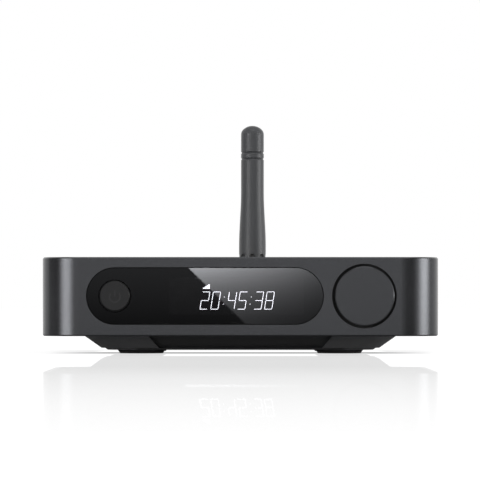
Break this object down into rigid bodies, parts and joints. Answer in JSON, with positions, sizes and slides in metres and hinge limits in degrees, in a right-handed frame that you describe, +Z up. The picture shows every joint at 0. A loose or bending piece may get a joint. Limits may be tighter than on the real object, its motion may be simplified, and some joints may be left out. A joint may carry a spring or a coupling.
{
  "type": "network music streamer",
  "caption": "Low dark grey network music streamer with a gloss window, a power button, a volume knob, rear sockets and a tilting aerial.",
  "frame": {"origin": "under the middle of the whole part, on the surface that it stands on", "axes": "+X to the right as seen from the front, +Y to the back, +Z up"},
  "size_m": [0.136, 0.1518, 0.0834],
  "materials": {
    "case_finish": "dark grey bead-blasted anodising",
    "panel_plastic": "fine matt texture",
    "base_plastic": "fine matt texture",
    "foot_rubber": "matt rubber",
    "dark_screw": "black oxide",
    "steel": "bright nickel",
    "window_dark": "polished, smoked",
    "button_plastic": "satin",
    "moulded_black": "as moulded",
    "white_plastic": "as moulded",
    "display_glass": "polished",
    "shaft_metal": "turned",
    "board_green": "solder mask",
    "sink_metal": "plain",
    "pad_rubber": "soft silicone",
    "gold_metal": "gold plated",
    "coax_insert": "orange",
    "left_insert": "white",
    "right_insert": "red",
    "emitter_red": "clear red lens",
    "lead_black": "thin sleeve",
    "whip_plastic": "satin moulded"
  },
  "bodies": {
    "chassis": {"antenna_jack": "gold_metal", "antenna_jack_nut": "gold_metal", "antenna_jack_washer": "gold_metal", "antenna_lead": "lead_black", "base_pan": "base_plastic", "board_screws": "steel", "capacitors": "sink_metal", "case_screws": "dark_screw", "chips": "moulded_black", "coax_jack_body": "moulded_black", "coax_jack_insert": "coax_insert", "coax_jack_shell": "gold_metal", "display_holder": "moulded_black", "display_module": "display_glass", "encoder_body": "moulded_black", "encoder_bushing": "steel", "foot_front_left": "foot_rubber", "foot_front_right": "foot_rubber", "foot_rear_left": "foot_rubber", "foot_rear_right": "foot_rubber", "front_board": "board_green", "front_board_screws": "steel", "heat_sink": "sink_metal", "lan_contacts": "gold_metal", "lan_socket": "moulded_black", "left_jack_insert": "left_insert", "left_jack_shell": "gold_metal", "line_jack_body": "moulded_black", "main_board": "board_green", "module_connectors": "moulded_black", "optical_emitter": "emitter_red", "optical_socket": "moulded_black", "panel_screws": "dark_screw", "processor_module": "board_green", "rear_panel": "panel_plastic", "ribbon_cable": "white_plastic", "ribbon_sockets": "moulded_black", "right_jack_insert": "right_insert", "right_jack_shell": "gold_metal", "shield_can": "steel", "shutter_pin": "steel", "switch_body": "moulded_black", "thermal_pad": "pad_rubber", "upper_case": "case_finish", "usb_a_shell": "steel", "usb_a_tongue": "white_plastic", "usb_c_shell": "steel", "usb_c_tongue": "moulded_black", "window_panel": "window_dark"},
    "encoder_rotor": {"encoder_rotor": "moulded_black"},
    "volume_knob": {"volume_knob": "case_finish", "encoder_shaft": "shaft_metal"},
    "power_button": {"power_button": "button_plastic", "switch_plunger": "white_plastic"},
    "antenna_plug": {"antenna_ferrule": "gold_metal"},
    "coupling_nut": {"antenna_coupling_nut": "gold_metal"},
    "antenna_elbow": {"antenna_elbow": "whip_plastic"},
    "antenna_whip": {"antenna_whip": "whip_plastic", "antenna_hinge_pin": "steel"},
    "optical_shutter": {"optical_shutter": "moulded_black"}
  },
  "joints": [
    {"name": "knob_turn", "type": "hinge", "parent": "chassis", "child": "encoder_rotor", "pos_m": [0.0423, -0.07095, 0.01986], "axis": [0, 1, 0], "continuous": true},
    {"name": "knob_press", "type": "slide", "parent": "encoder_rotor", "child": "volume_knob", "axis": [0, 1, 0], "range_m": [0, 0.0005], "stiffness_N_per_m": 3000, "springref_m": -0.0003},
    {"name": "button_press", "type": "slide", "parent": "chassis", "child": "power_button", "axis": [0, 1, 0], "range_m": [0, 0.0005], "stiffness_N_per_m": 3000, "springref_m": -0.0003},
    {"name": "plug_draw", "type": "slide", "parent": "chassis", "child": "antenna_plug", "axis": [0, 1, 0], "range_m": [0, 0.00353]},
    {"name": "coupling_turn", "type": "hinge", "parent": "antenna_plug", "child": "coupling_nut", "pos_m": [0.0045, 0.05105, 0.025], "axis": [0, 1, 0], "range_deg": [0, 1800]},
    {"name": "antenna_swivel", "type": "hinge", "parent": "antenna_plug", "child": "antenna_elbow", "pos_m": [0.0045, 0.05105, 0.025], "axis": [0, 1, 0], "range_deg": [-90, 90]},
    {"name": "antenna_tilt", "type": "hinge", "parent": "antenna_elbow", "child": "antenna_whip", "pos_m": [0.0045, 0.07095, 0.025], "axis": [-1, 0, 0], "range_deg": [0, 90]},
    {"name": "shutter_swing", "type": "hinge", "parent": "chassis", "child": "optical_shutter", "pos_m": [0.014, 0.05, 0.02041], "axis": [-1, 0, 0], "range_deg": [0, 80], "stiffness_Nm_per_rad": 0.00002, "springref_deg": -22.92}
  ],
  "couplings": [
    {"joint": "coupling_turn", "follows": "plug_draw", "rad_per_m": 8904.7}
  ]
}
